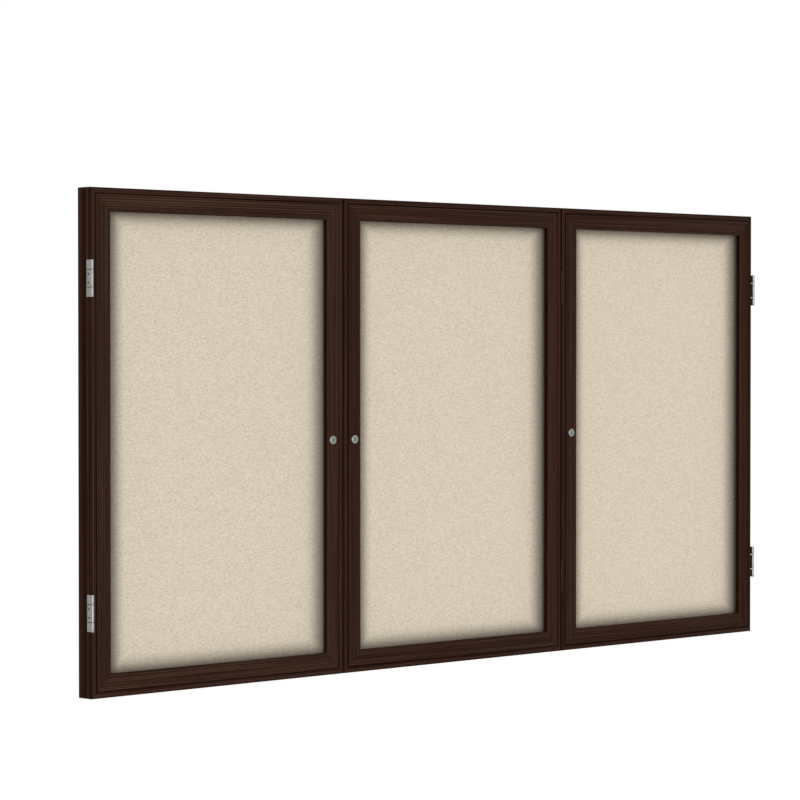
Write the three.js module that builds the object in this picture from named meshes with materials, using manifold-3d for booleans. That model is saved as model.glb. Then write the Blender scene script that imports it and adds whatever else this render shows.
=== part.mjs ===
import * as THREE from 'three';
import { mergeVertices } from 'three/addons/utils/BufferGeometryUtils.js';
import Module from 'manifold-3d';

// A lockable notice board for a wall: a shallow timber case that holds a tack board behind
// fabric, and three framed and glazed doors, each with two hinges and one cam lock.
// Millimetres, +Z up. The back of the case lies on the wall at y = 0, the front faces -Y, and
// +X is to the right as seen from the front. The origin is the middle of the back.

// Board
const BOARD_WIDTH = 2438.4;
const BOARD_HEIGHT = 1219.2;
const FIT_GAP = 0.3;
const CUT_OVERRUN = 5;

// Case: a mitred box of four members with a rebate behind for the tack board
const CASE_DEPTH = 34.5;
const CASE_WALL = 19;
const CASE_OUTER_ROUND = 3;
const CASE_INNER_ROUND = 1;
const CASE_REBATE_WIDTH = 9;
const BACK_THICKNESS = 3;
const CORE_THICKNESS = 12;
const FABRIC_THICKNESS = 1.2;
const TACK_CLEARANCE = 0.5;
const MULLION_ROUND = 1.5;
const FIXING_HOLE_RADIUS = 3;

// Doors: mitred mouldings with a bead, a groove and a flat face, rebated behind for the glazing
const DOOR_THICKNESS = 15;
const FRAME_WIDTH = 57;
const BEAD_WIDTH = 13;
const BEAD_STEP = 1;
const BEAD_ROUND = 4.5;
const GROOVE_WIDTH = 3;
const GROOVE_DEPTH = 2.5;
const EDGE_ROUND = 1;
const GLAZING_REBATE_WIDTH = 9;
const GLAZING_THICKNESS = 3;
const GLAZING_CLEARANCE = 0.75;
const GASKET_THICKNESS = 2;
const GASKET_SETBACK = 1;
const MITRE_GAP = 0.1;

// Hinges: a short door leaf nests between the two arms of the case leaf
const HINGE_HEIGHT = 88;
const HINGE_FROM_TOP = 217;
const HINGE_FROM_BOTTOM = 205;
const DOOR_KNUCKLE_SHARE = 0.46;
const KNUCKLE_GAP = 1.8;
const LEAF_THICKNESS = 1.4;
const LEAF_BEND_ROUND = 1.2;
const FLANGE_WIDTH = 15;
const FLANGE_CLEARANCE = 1.1;
const RUNNING_CLEARANCE = 0.15;
const PIN_END = 0.6;
const SIDE_BARREL_RADIUS = 3.5;
const SIDE_PIN_RADIUS = 2;
const SIDE_BARREL_FORWARD = 4.6;
const SEAM_BARREL_RADIUS = 2.4;
const SEAM_PIN_RADIUS = 1.2;
const SEAM_CLEARANCE = 0.8;
const SCREW_HOLE_RADIUS = 1.9;
const SCREW_HEAD_RADIUS = 3.4;
const LEAF_SCREW_SPACING = 21;
const FLANGE_SCREW_SPACING = 30;

// Locks: a cam lock through the flat of each lock stile, and a strike on the mullion
const LOCK_BELOW_CENTRE = 9;
const LOCK_HEAD_RADIUS = 11;
const LOCK_HEAD_THICKNESS = 2.2;
const LOCK_HEAD_CHAMFER = 0.8;
const LOCK_BODY_RADIUS = 8;
const LOCK_BODY_FLATS = 14;
const LOCK_BODY_BEYOND_NUT = 3;
const NUT_FLATS = 22;
const NUT_THICKNESS = 4;
const NUT_CHAMFER = 0.7;
const NUT_TO_MULLION = 6;
const PLUG_RADIUS = 5.5;
const PLUG_RECESS = 0.4;
const KEYWAY_WIDTH = 1.8;
const KEYWAY_HEIGHT = 7.6;
const KEYWAY_DEPTH = 9;
const TAIL_SIZE = 6;
const TAIL_END = 1.5;
const CAM_THICKNESS = 2;
const CAM_WIDTH = 13;
const CAM_CORNER = 2.5;
const CAM_TIP_CLEARANCE = 1;
const STRIKE_THICKNESS = 1.4;
const STRIKE_HEIGHT = 24;
const STRIKE_BEND_ROUND = 1.2;
const STRIKE_TO_CAM = 0.7;
const STRIKE_TO_LOCK = 1.5;
const STRIKE_TO_FABRIC = 4;
const STRIKE_SCREW_SPACING = 14;

// Facets
const LOCK_FACETS = 32;
const HINGE_FACETS = 20;
const HOLE_FACETS = 12;
const ARC_STEPS = 3;

// The doors from left to right, each with the side that its hinges are on
const DOORS = [
  { name: 'left', hingeSide: -1 },
  { name: 'centre', hingeSide: 1 },
  { name: 'right', hingeSide: 1 },
];

// Depths, from the wall forwards
const tackDepth = BACK_THICKNESS + CORE_THICKNESS + FABRIC_THICKNESS;
const doorStandoff = LEAF_THICKNESS + FLANGE_CLEARANCE;
const doorBackDepth = CASE_DEPTH + doorStandoff;
const faceDepth = doorBackDepth + DOOR_THICKNESS;

// Widths: the seam between two doors just takes a hinge leaf
const seamWidth = LEAF_THICKNESS + 2 * SEAM_CLEARANCE;
const doorWidth = (BOARD_WIDTH - (DOORS.length - 1) * seamWidth) / DOORS.length;
const doorPitch = doorWidth + seamWidth;
const doorCentreX = (index) => (index - (DOORS.length - 1) / 2) * doorPitch;

// Door moulding
const beadTop = DOOR_THICKNESS - BEAD_STEP;
const flatStart = BEAD_WIDTH + GROOVE_WIDTH;
const glazingRebateDepth = GLAZING_THICKNESS + GASKET_THICKNESS;
const sightWidth = doorWidth - 2 * FRAME_WIDTH;
const sightHeight = BOARD_HEIGHT - 2 * FRAME_WIDTH;
const paneSpread = 2 * (GLAZING_REBATE_WIDTH - GLAZING_CLEARANCE);

// Locks sit in the middle of the flat face, and the mullion is as wide as their nuts allow
const lockFromEdge = (flatStart + FRAME_WIDTH) / 2;
const nutCornerRadius = NUT_FLATS / 2 / Math.cos(Math.PI / 6);
const mullionFromEdge = lockFromEdge - nutCornerRadius - NUT_TO_MULLION;
const mullionWidth = 2 * mullionFromEdge + seamWidth;
const lockZ = -LOCK_BELOW_CENTRE;

const wasm = await Module();
wasm.setup();

// Materials, with the colours of the photographed board
function finish(color, roughness, metalness) {
  return new THREE.MeshStandardMaterial({ color, roughness, metalness });
}

const walnut = finish('#37251d', 0.55, 0);
const fabric = finish('#d6cab4', 0.95, 0);
const fibreboard = finish('#a98f6a', 0.9, 0);
const hardboard = finish('#6f4e34', 0.8, 0);
const clearPane = new THREE.MeshStandardMaterial({
  color: '#f4f7f6',
  roughness: 0.05,
  metalness: 0,
  transparent: true,
  opacity: 0.15,
});
const vinyl = finish('#1c1714', 0.7, 0);
const satinSteel = finish('#a5a29d', 0.35, 0.9);
const bronzedSteel = finish('#2b2019', 0.45, 0.7);
const zincSteel = finish('#b4b5b2', 0.4, 0.9);

const board = new THREE.Group();

function addPiece(parent, name, geometry, material) {
  const piece = new THREE.Mesh(geometry, material);
  piece.name = name;
  parent.add(piece);
  return piece;
}

// Joining and cutting

function toSolid(geometry) {
  const bare = geometry.clone();
  bare.deleteAttribute('normal');
  bare.deleteAttribute('uv');
  const merged = mergeVertices(bare);
  return new wasm.Manifold(new wasm.Mesh({
    numProp: 3,
    vertProperties: new Float32Array(merged.attributes.position.array),
    triVerts: new Uint32Array(merged.index.array),
  }));
}

function toGeometry(solid) {
  const mesh = solid.getMesh();
  const geometry = new THREE.BufferGeometry();
  geometry.setAttribute('position', new THREE.BufferAttribute(new Float32Array(mesh.vertProperties), 3));
  geometry.setIndex(new THREE.BufferAttribute(new Uint32Array(mesh.triVerts), 1));
  geometry.computeVertexNormals();
  return geometry;
}

function joinAndCut(added, removed) {
  let solid = toSolid(added[0]);
  for (const geometry of added.slice(1)) solid = solid.add(toSolid(geometry));
  for (const geometry of removed) solid = solid.subtract(toSolid(geometry));
  return toGeometry(solid);
}

// Basic shapes

function block(x0, x1, y0, y1, z0, z1) {
  const geometry = new THREE.BoxGeometry(x1 - x0, y1 - y0, z1 - z0);
  return geometry.translate((x0 + x1) / 2, (y0 + y1) / 2, (z0 + z1) / 2);
}

// An outline in x and y, pushed up along z from z0 to z1
function pushUp(shape, z0, z1, steps = ARC_STEPS) {
  const geometry = new THREE.ExtrudeGeometry(shape, {
    depth: z1 - z0,
    bevelEnabled: false,
    curveSegments: steps,
  });
  return geometry.translate(0, 0, z0);
}

// An outline in x and z, pushed along y from the depth "back" forwards to the depth "front"
function pushForward(shape, back, front, steps = ARC_STEPS) {
  return pushUp(shape, back, front, steps).rotateX(Math.PI / 2);
}

function uprightRound(radius, z0, z1) {
  const geometry = new THREE.CylinderGeometry(radius, radius, z1 - z0, HINGE_FACETS);
  return geometry.rotateX(Math.PI / 2).translate(0, 0, (z0 + z1) / 2);
}

function rectangle(width, height) {
  const shape = new THREE.Shape();
  shape.moveTo(-width / 2, -height / 2);
  shape.lineTo(width / 2, -height / 2);
  shape.lineTo(width / 2, height / 2);
  shape.lineTo(-width / 2, height / 2);
  shape.closePath();
  return shape;
}

// A hole through a plate that lies across x, countersunk from the +x face at x1
function countersunkHole(x0, x1, y, z) {
  const depth = x1 - x0;
  const profile = [
    new THREE.Vector2(0, -CUT_OVERRUN),
    new THREE.Vector2(SCREW_HOLE_RADIUS, -CUT_OVERRUN),
    new THREE.Vector2(SCREW_HOLE_RADIUS, 0),
    new THREE.Vector2(SCREW_HEAD_RADIUS, depth),
    new THREE.Vector2(SCREW_HEAD_RADIUS, depth + CUT_OVERRUN),
    new THREE.Vector2(0, depth + CUT_OVERRUN),
  ];
  const cut = new THREE.LatheGeometry(profile, HOLE_FACETS);
  return cut.rotateZ(-Math.PI / 2).translate(x0, y, z);
}

// A member with mitred ends. Its outline runs from the outer edge at x = 0 inwards, and from
// the back at y = 0 forwards. It comes out as a top rail: its outer edge up, its front to -Y.
function mitredMember(outline, length) {
  const geometry = pushUp(outline, -length / 2, length / 2);
  const points = geometry.attributes.position;
  for (let i = 0; i < points.count; i += 1) {
    const reach = length / 2 - points.getX(i) - MITRE_GAP;
    points.setZ(i, Math.sign(points.getZ(i)) * reach);
  }
  const inwards = new THREE.Vector3(0, 0, -1);
  const forwards = new THREE.Vector3(0, -1, 0);
  const along = new THREE.Vector3(-1, 0, 0);
  geometry.applyMatrix4(new THREE.Matrix4().makeBasis(inwards, forwards, along));
  return geometry;
}

// Four mitred members round a rectangle, given the y of its back
const SIDES = {
  top: { turn: 0, acrossX: 0, acrossZ: 1 },
  bottom: { turn: Math.PI, acrossX: 0, acrossZ: -1 },
  right: { turn: Math.PI / 2, acrossX: 1, acrossZ: 0 },
  left: { turn: -Math.PI / 2, acrossX: -1, acrossZ: 0 },
};

function placeMember(piece, side, width, height, backDepth) {
  const { turn, acrossX, acrossZ } = SIDES[side];
  piece.rotation.y = turn;
  piece.position.set(acrossX * width / 2, -backDepth, acrossZ * height / 2);
}

// Case

function caseOutline() {
  const rebate = CASE_WALL - CASE_REBATE_WIDTH;
  const shape = new THREE.Shape();
  shape.moveTo(0, 0);
  shape.lineTo(rebate, 0);
  shape.lineTo(rebate, tackDepth);
  shape.lineTo(CASE_WALL, tackDepth);
  shape.lineTo(CASE_WALL, CASE_DEPTH - CASE_INNER_ROUND);
  shape.absarc(CASE_WALL - CASE_INNER_ROUND, CASE_DEPTH - CASE_INNER_ROUND, CASE_INNER_ROUND, 0, Math.PI / 2);
  shape.lineTo(CASE_OUTER_ROUND, CASE_DEPTH);
  shape.absarc(CASE_OUTER_ROUND, CASE_DEPTH - CASE_OUTER_ROUND, CASE_OUTER_ROUND, Math.PI / 2, Math.PI);
  shape.closePath();
  return shape;
}

const caseSection = caseOutline();
for (const side of ['top', 'bottom', 'left', 'right']) {
  const flat = side === 'top' || side === 'bottom';
  const name = flat ? `case_${side}_rail` : `case_${side}_stile`;
  const geometry = mitredMember(caseSection, flat ? BOARD_WIDTH : BOARD_HEIGHT);
  placeMember(addPiece(board, name, geometry, walnut), side, BOARD_WIDTH, BOARD_HEIGHT, 0);
}

// Tack board: hardboard, fibreboard and fabric in the rebate, with a fixing hole at the top and
// the bottom of each bay, hidden behind the door rails
const tackInset = CASE_WALL - CASE_REBATE_WIDTH + TACK_CLEARANCE;
const fixingHoleZ = (BOARD_HEIGHT - CASE_WALL - FRAME_WIDTH) / 2;

function tackOutline() {
  const shape = rectangle(BOARD_WIDTH - 2 * tackInset, BOARD_HEIGHT - 2 * tackInset);
  DOORS.forEach((door, index) => {
    for (const z of [-fixingHoleZ, fixingHoleZ]) {
      const hole = new THREE.Path();
      hole.absarc(doorCentreX(index), z, FIXING_HOLE_RADIUS, 0, 2 * Math.PI);
      shape.holes.push(hole);
    }
  });
  return shape;
}

const tackLayers = [
  { name: 'back_panel', thickness: BACK_THICKNESS, material: hardboard },
  { name: 'tack_core', thickness: CORE_THICKNESS, material: fibreboard },
  { name: 'tack_fabric', thickness: FABRIC_THICKNESS, material: fabric },
];
let layerDepth = 0;
for (const { name, thickness, material } of tackLayers) {
  const geometry = pushForward(tackOutline(), layerDepth, layerDepth + thickness, HOLE_FACETS / 2);
  addPiece(board, name, geometry, material);
  layerDepth += thickness;
}

// Mullions behind the seams between the doors
function mullionOutline() {
  const side = mullionWidth / 2;
  const shape = new THREE.Shape();
  shape.moveTo(-side, -CASE_DEPTH + MULLION_ROUND);
  shape.absarc(-side + MULLION_ROUND, -CASE_DEPTH + MULLION_ROUND, MULLION_ROUND, Math.PI, 1.5 * Math.PI);
  shape.absarc(side - MULLION_ROUND, -CASE_DEPTH + MULLION_ROUND, MULLION_ROUND, 1.5 * Math.PI, 2 * Math.PI);
  shape.lineTo(side, -tackDepth);
  shape.lineTo(-side, -tackDepth);
  shape.closePath();
  return shape;
}

const mullionReach = BOARD_HEIGHT / 2 - CASE_WALL;
for (const [index, name] of ['mullion_left', 'mullion_right'].entries()) {
  const mullion = addPiece(board, name, pushUp(mullionOutline(), -mullionReach, mullionReach), walnut);
  mullion.position.x = doorCentreX(index) + doorPitch / 2;
}

// Doors

function doorOutline() {
  const grooveFloor = beadTop - GROOVE_DEPTH;
  const rebate = FRAME_WIDTH - GLAZING_REBATE_WIDTH;
  const shape = new THREE.Shape();
  shape.moveTo(0, 0);
  shape.lineTo(rebate, 0);
  shape.lineTo(rebate, glazingRebateDepth);
  shape.lineTo(FRAME_WIDTH, glazingRebateDepth);
  shape.absarc(FRAME_WIDTH - EDGE_ROUND, DOOR_THICKNESS - EDGE_ROUND, EDGE_ROUND, 0, Math.PI / 2);
  shape.absarc(flatStart + EDGE_ROUND, DOOR_THICKNESS - EDGE_ROUND, EDGE_ROUND, Math.PI / 2, Math.PI);
  shape.lineTo(flatStart, grooveFloor);
  shape.lineTo(BEAD_WIDTH, grooveFloor);
  shape.absarc(BEAD_WIDTH - EDGE_ROUND, beadTop - EDGE_ROUND, EDGE_ROUND, 0, Math.PI / 2);
  shape.absarc(BEAD_ROUND, beadTop - BEAD_ROUND, BEAD_ROUND, Math.PI / 2, Math.PI);
  shape.closePath();
  return shape;
}

function boredLockStile(geometry, hingeSide) {
  const radius = LOCK_BODY_RADIUS + FIT_GAP;
  const hole = new THREE.CylinderGeometry(radius, radius, DOOR_THICKNESS + 2 * CUT_OVERRUN, LOCK_FACETS);
  // The member still lies as a top rail here, so the lock's height runs along its length
  hole.translate(hingeSide * lockZ, -DOOR_THICKNESS / 2, -lockFromEdge);
  return joinAndCut([geometry], [hole]);
}

const paneOutline = () => rectangle(sightWidth + paneSpread, sightHeight + paneSpread);

function gasketOutline() {
  const shape = paneOutline();
  shape.holes.push(rectangle(sightWidth + 2 * GASKET_SETBACK, sightHeight + 2 * GASKET_SETBACK));
  return shape;
}

function addDoor({ name, hingeSide }, index) {
  const door = new THREE.Group();
  door.position.x = doorCentreX(index);
  board.add(door);

  const outline = doorOutline();
  const hingeEdge = hingeSide > 0 ? 'right' : 'left';
  const lockEdge = hingeSide > 0 ? 'left' : 'right';
  const members = [
    { piece: 'top_rail', side: 'top', length: doorWidth },
    { piece: 'bottom_rail', side: 'bottom', length: doorWidth },
    { piece: 'hinge_stile', side: hingeEdge, length: BOARD_HEIGHT },
    { piece: 'lock_stile', side: lockEdge, length: BOARD_HEIGHT },
  ];
  for (const { piece, side, length } of members) {
    const plain = mitredMember(outline, length);
    const geometry = piece === 'lock_stile' ? boredLockStile(plain, hingeSide) : plain;
    const mesh = addPiece(door, `${name}_door_${piece}`, geometry, walnut);
    placeMember(mesh, side, doorWidth, BOARD_HEIGHT, doorBackDepth);
  }

  const gasketFront = doorBackDepth + GASKET_THICKNESS;
  addPiece(door, `${name}_door_gasket`, pushForward(gasketOutline(), doorBackDepth, gasketFront), vinyl);
  const paneFront = gasketFront + GLAZING_THICKNESS;
  addPiece(door, `${name}_door_glazing`, pushForward(paneOutline(), gasketFront, paneFront), clearPane);
}

DOORS.forEach(addDoor);

// Hinges. In a hinge's own frame x runs outwards from the door's edge, y runs back from the
// door's face, and z = 0 is its mid-height. It is the same upside down, so a half turn about y
// makes the hinge for the other side.

const sideHinge = {
  armInner: FIT_GAP,
  barrelRadius: SIDE_BARREL_RADIUS,
  pinRadius: SIDE_PIN_RADIUS,
  axisX: FIT_GAP + LEAF_THICKNESS / 2,
  axisY: -SIDE_BARREL_FORWARD,
  metal: satinSteel,
};

// The seam hinge's barrel keeps within the seam on its far side, and clears the door's bead
const seamAxisX = SEAM_CLEARANCE + LEAF_THICKNESS - SEAM_BARREL_RADIUS;
const beadToBarrel = BEAD_ROUND + SEAM_BARREL_RADIUS + FIT_GAP;
const seamAxisRise = Math.sqrt(beadToBarrel ** 2 - (BEAD_ROUND + seamAxisX) ** 2);
const seamHinge = {
  armInner: SEAM_CLEARANCE,
  barrelRadius: SEAM_BARREL_RADIUS,
  pinRadius: SEAM_PIN_RADIUS,
  axisX: seamAxisX,
  axisY: BEAD_STEP + BEAD_ROUND - seamAxisRise,
  metal: bronzedSteel,
};

const halfDoorKnuckle = DOOR_KNUCKLE_SHARE * HINGE_HEIGHT / 2;
const caseFrontY = DOOR_THICKNESS + doorStandoff;
const leafScrewY = DOOR_THICKNESS - (beadTop - BEAD_ROUND) / 2;

function atAxis(geometry, hinge) {
  return geometry.translate(hinge.axisX, hinge.axisY, 0);
}

// The pin's hole through every knuckle
function pinBore(hinge) {
  const reach = HINGE_HEIGHT / 2 + CUT_OVERRUN;
  return atAxis(uprightRound(hinge.pinRadius + RUNNING_CLEARANCE, -reach, reach), hinge);
}

function doorLeaf(hinge) {
  const plate = block(0, LEAF_THICKNESS, hinge.axisY, DOOR_THICKNESS, -halfDoorKnuckle, halfDoorKnuckle);
  const knuckle = atAxis(uprightRound(hinge.barrelRadius, -halfDoorKnuckle, halfDoorKnuckle), hinge);
  const holes = [-1, 1].map((end) => (
    countersunkHole(0, LEAF_THICKNESS, leafScrewY, end * LEAF_SCREW_SPACING / 2)
  ));
  return joinAndCut([plate, knuckle], [pinBore(hinge), ...holes]);
}

// The case leaf: a flange on the case's front edge, bent forwards past the door's edge
function caseLeafOutline(hinge) {
  const outer = hinge.armInner + LEAF_THICKNESS;
  const shape = new THREE.Shape();
  shape.moveTo(-FLANGE_WIDTH, caseFrontY - LEAF_THICKNESS);
  shape.lineTo(hinge.armInner, caseFrontY - LEAF_THICKNESS);
  shape.lineTo(hinge.armInner, hinge.axisY);
  shape.lineTo(outer, hinge.axisY);
  shape.lineTo(outer, caseFrontY - LEAF_BEND_ROUND);
  shape.absarc(outer - LEAF_BEND_ROUND, caseFrontY - LEAF_BEND_ROUND, LEAF_BEND_ROUND, 0, Math.PI / 2);
  shape.lineTo(-FLANGE_WIDTH, caseFrontY);
  shape.closePath();
  return shape;
}

function caseLeaf(hinge) {
  const half = HINGE_HEIGHT / 2;
  const plate = pushUp(caseLeafOutline(hinge), -half, half);
  const barrel = atAxis(uprightRound(hinge.barrelRadius, -half, half), hinge);
  const window = halfDoorKnuckle + KNUCKLE_GAP;
  const windowX0 = hinge.axisX - hinge.barrelRadius - CUT_OVERRUN;
  const windowX1 = hinge.axisX + hinge.barrelRadius + CUT_OVERRUN;
  const windowY0 = hinge.axisY - hinge.barrelRadius - CUT_OVERRUN;
  const cuts = [
    pinBore(hinge),
    block(windowX0, windowX1, windowY0, DOOR_THICKNESS + FIT_GAP, -window, window),
  ];
  for (const step of [-1, 0, 1]) {
    const hole = countersunkHole(0, LEAF_THICKNESS, 0, step * FLANGE_SCREW_SPACING);
    hole.rotateZ(-Math.PI / 2).translate(-FLANGE_WIDTH / 2, caseFrontY, 0);
    cuts.push(hole);
  }
  return joinAndCut([plate, barrel], cuts);
}

function hingePin(hinge) {
  const half = HINGE_HEIGHT / 2;
  const profile = [
    new THREE.Vector2(0, -half - PIN_END),
    new THREE.Vector2(hinge.pinRadius - PIN_END, -half - PIN_END),
    new THREE.Vector2(hinge.pinRadius, -half),
    new THREE.Vector2(hinge.pinRadius, half),
    new THREE.Vector2(hinge.pinRadius - PIN_END, half + PIN_END),
    new THREE.Vector2(0, half + PIN_END),
  ];
  return atAxis(new THREE.LatheGeometry(profile, HINGE_FACETS).rotateX(Math.PI / 2), hinge);
}

const hingeHeights = {
  upper: BOARD_HEIGHT / 2 - HINGE_FROM_TOP,
  lower: -BOARD_HEIGHT / 2 + HINGE_FROM_BOTTOM,
};

DOORS.forEach(({ name, hingeSide }, index) => {
  const edgeX = doorCentreX(index) + hingeSide * doorWidth / 2;
  const onCaseSide = Math.abs(edgeX) > (BOARD_WIDTH - seamWidth) / 2;
  const hinge = onCaseSide ? sideHinge : seamHinge;
  const parts = { case_leaf: caseLeaf(hinge), door_leaf: doorLeaf(hinge), pin: hingePin(hinge) };
  for (const [level, z] of Object.entries(hingeHeights)) {
    const group = new THREE.Group();
    group.position.set(edgeX, -faceDepth, z);
    group.rotation.y = hingeSide > 0 ? 0 : Math.PI;
    board.add(group);
    for (const [part, geometry] of Object.entries(parts)) {
      addPiece(group, `${name}_${level}_hinge_${part}`, geometry, hinge.metal);
    }
  }
});

// Locks. In a lock's own frame y runs back from the door's face along the lock's axis, and x
// runs from the lock towards the mullion.

const bodyEndY = DOOR_THICKNESS + NUT_THICKNESS + LOCK_BODY_BEYOND_NUT;
const camFrontY = bodyEndY + FIT_GAP;
const camBackY = camFrontY + CAM_THICKNESS;
const strikeX = lockFromEdge - mullionFromEdge;
const camReach = strikeX - STRIKE_THICKNESS - CAM_TIP_CLEARANCE;

// A turned part about the lock's axis, from points of radius and y
function turned(points) {
  const profile = points.map(([radius, y]) => new THREE.Vector2(radius, y));
  return new THREE.LatheGeometry(profile, LOCK_FACETS);
}

function lockHousing() {
  const bore = PLUG_RADIUS + FIT_GAP;
  const front = -LOCK_HEAD_THICKNESS;
  const body = turned([
    [bore, front],
    [LOCK_HEAD_RADIUS - LOCK_HEAD_CHAMFER, front],
    [LOCK_HEAD_RADIUS, front + LOCK_HEAD_CHAMFER],
    [LOCK_HEAD_RADIUS, 0],
    [LOCK_BODY_RADIUS, 0],
    [LOCK_BODY_RADIUS, bodyEndY],
    [bore, bodyEndY],
    [bore, front],
  ]);
  const flats = [-1, 1].map((side) => {
    const inner = side * LOCK_BODY_FLATS / 2;
    const outer = side * (LOCK_BODY_RADIUS + CUT_OVERRUN);
    const reach = LOCK_BODY_RADIUS + CUT_OVERRUN;
    return block(Math.min(inner, outer), Math.max(inner, outer), 0, bodyEndY + CUT_OVERRUN, -reach, reach);
  });
  return joinAndCut([body], flats);
}

function lockNut() {
  const y0 = DOOR_THICKNESS;
  const y1 = DOOR_THICKNESS + NUT_THICKNESS;
  const rim = nutCornerRadius - NUT_CHAMFER;
  const hexagon = new THREE.CylinderGeometry(nutCornerRadius, nutCornerRadius, NUT_THICKNESS, 6);
  hexagon.translate(0, (y0 + y1) / 2, 0);
  const turnedBlank = turned([
    [0, y0],
    [nutCornerRadius, y0],
    [nutCornerRadius, y1 - NUT_CHAMFER],
    [rim, y1],
    [0, y1],
  ]);
  const holeRadius = LOCK_BODY_RADIUS + RUNNING_CLEARANCE;
  const hole = turned([
    [0, y0 - CUT_OVERRUN],
    [holeRadius, y0 - CUT_OVERRUN],
    [holeRadius, y1 + CUT_OVERRUN],
    [0, y1 + CUT_OVERRUN],
  ]);
  return toGeometry(toSolid(hexagon).intersect(toSolid(turnedBlank)).subtract(toSolid(hole)));
}

function lockPlug() {
  const front = -LOCK_HEAD_THICKNESS + PLUG_RECESS;
  const barrel = turned([
    [0, front],
    [PLUG_RADIUS, front],
    [PLUG_RADIUS, bodyEndY],
    [0, bodyEndY],
  ]);
  const half = TAIL_SIZE / 2;
  const tail = block(-half, half, bodyEndY - CUT_OVERRUN, camBackY + TAIL_END, -half, half);
  const slotX = KEYWAY_WIDTH / 2;
  const slotZ = KEYWAY_HEIGHT / 2;
  const keyway = block(-slotX, slotX, front - CUT_OVERRUN, front + KEYWAY_DEPTH, -slotZ, slotZ);
  return joinAndCut([barrel, tail], [keyway]);
}

// The cam hangs down when unlocked, and a quarter turn takes its tip behind the strike
function lockCam() {
  const half = CAM_WIDTH / 2;
  const shape = new THREE.Shape();
  shape.absarc(0, 0, half, 0, Math.PI);
  shape.absarc(-half + CAM_CORNER, -camReach + CAM_CORNER, CAM_CORNER, Math.PI, 1.5 * Math.PI);
  shape.absarc(half - CAM_CORNER, -camReach + CAM_CORNER, CAM_CORNER, 1.5 * Math.PI, 2 * Math.PI);
  shape.closePath();
  const hole = TAIL_SIZE + 2 * RUNNING_CLEARANCE;
  shape.holes.push(rectangle(hole, hole));
  const plate = new THREE.ExtrudeGeometry(shape, {
    depth: CAM_THICKNESS,
    bevelEnabled: false,
    curveSegments: ARC_STEPS,
  });
  return plate.rotateX(Math.PI / 2).translate(0, camBackY, 0);
}

// The strike: one leg screwed to the mullion's side, the other standing out before the cam
function strike() {
  const legBackY = camFrontY - STRIKE_TO_CAM;
  const legFrontY = legBackY - STRIKE_THICKNESS;
  const tipX = LOCK_BODY_RADIUS + STRIKE_TO_LOCK;
  const plateBackY = faceDepth - tackDepth - STRIKE_TO_FABRIC;
  const plateX = strikeX - STRIKE_THICKNESS;
  const bendX = strikeX - STRIKE_BEND_ROUND;
  const bendY = legFrontY + STRIKE_BEND_ROUND;
  const shape = new THREE.Shape();
  shape.moveTo(tipX, legFrontY);
  shape.absarc(bendX, bendY, STRIKE_BEND_ROUND, -Math.PI / 2, 0);
  shape.lineTo(strikeX, plateBackY);
  shape.lineTo(plateX, plateBackY);
  shape.lineTo(plateX, legBackY);
  shape.lineTo(tipX, legBackY);
  shape.closePath();
  const body = pushUp(shape, -STRIKE_HEIGHT / 2, STRIKE_HEIGHT / 2);
  const screwY = (legBackY + plateBackY) / 2;
  const holes = [-1, 1].map((end) => {
    const hole = countersunkHole(0, STRIKE_THICKNESS, 0, end * STRIKE_SCREW_SPACING / 2);
    return hole.rotateZ(Math.PI).translate(strikeX, screwY, 0);
  });
  return joinAndCut([body], holes);
}

DOORS.forEach(({ name, hingeSide }, index) => {
  const lock = new THREE.Group();
  const edgeX = doorCentreX(index) - hingeSide * doorWidth / 2;
  lock.position.set(edgeX + hingeSide * lockFromEdge, -faceDepth, lockZ);
  board.add(lock);
  addPiece(lock, `${name}_lock_housing`, lockHousing(), zincSteel);
  addPiece(lock, `${name}_lock_nut`, lockNut(), zincSteel);
  addPiece(lock, `${name}_lock_plug`, lockPlug(), zincSteel);
  addPiece(lock, `${name}_lock_cam`, lockCam(), zincSteel);
  const strikePlate = addPiece(lock, `${name}_lock_strike`, strike(), zincSteel);
  strikePlate.rotation.y = hingeSide > 0 ? Math.PI : 0;
});

export default board;
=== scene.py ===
# %% [markdown]
# # A lockable notice board
#
# A shallow walnut case hangs on a wall. It holds a tack board under beige woven cloth, and three
# glazed doors with cam locks close it. The solid parts come from the frame, each at its real size
# and place. This lesson gives every part its surface, stretches the cloth, drives the screws, and
# sets up the light and the camera. All lengths are in metres.

# %% Load the frame
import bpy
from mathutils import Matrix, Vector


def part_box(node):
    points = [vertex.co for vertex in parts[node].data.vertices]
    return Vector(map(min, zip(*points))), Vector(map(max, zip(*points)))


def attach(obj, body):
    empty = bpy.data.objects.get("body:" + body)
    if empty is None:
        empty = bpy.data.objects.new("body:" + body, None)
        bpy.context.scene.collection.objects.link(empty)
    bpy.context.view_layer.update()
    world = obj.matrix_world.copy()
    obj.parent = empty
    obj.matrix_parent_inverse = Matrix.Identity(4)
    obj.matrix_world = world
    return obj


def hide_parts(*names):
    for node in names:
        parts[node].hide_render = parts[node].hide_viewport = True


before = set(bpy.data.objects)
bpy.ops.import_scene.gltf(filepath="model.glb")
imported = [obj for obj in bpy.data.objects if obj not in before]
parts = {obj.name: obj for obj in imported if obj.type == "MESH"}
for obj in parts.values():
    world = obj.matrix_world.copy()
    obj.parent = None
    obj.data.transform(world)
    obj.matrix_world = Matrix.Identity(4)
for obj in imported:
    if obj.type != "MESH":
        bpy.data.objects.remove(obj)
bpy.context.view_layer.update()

# %% Common tools
import math

import bmesh
import bpy
from mathutils import Euler, Matrix, Vector

MM = 0.001
X, Y, Z = 0, 1, 2
scene = bpy.context.scene


def linked(name, data):
    """A new object in the scene."""
    item = bpy.data.objects.new(name, data)
    scene.collection.objects.link(item)
    return item


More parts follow.
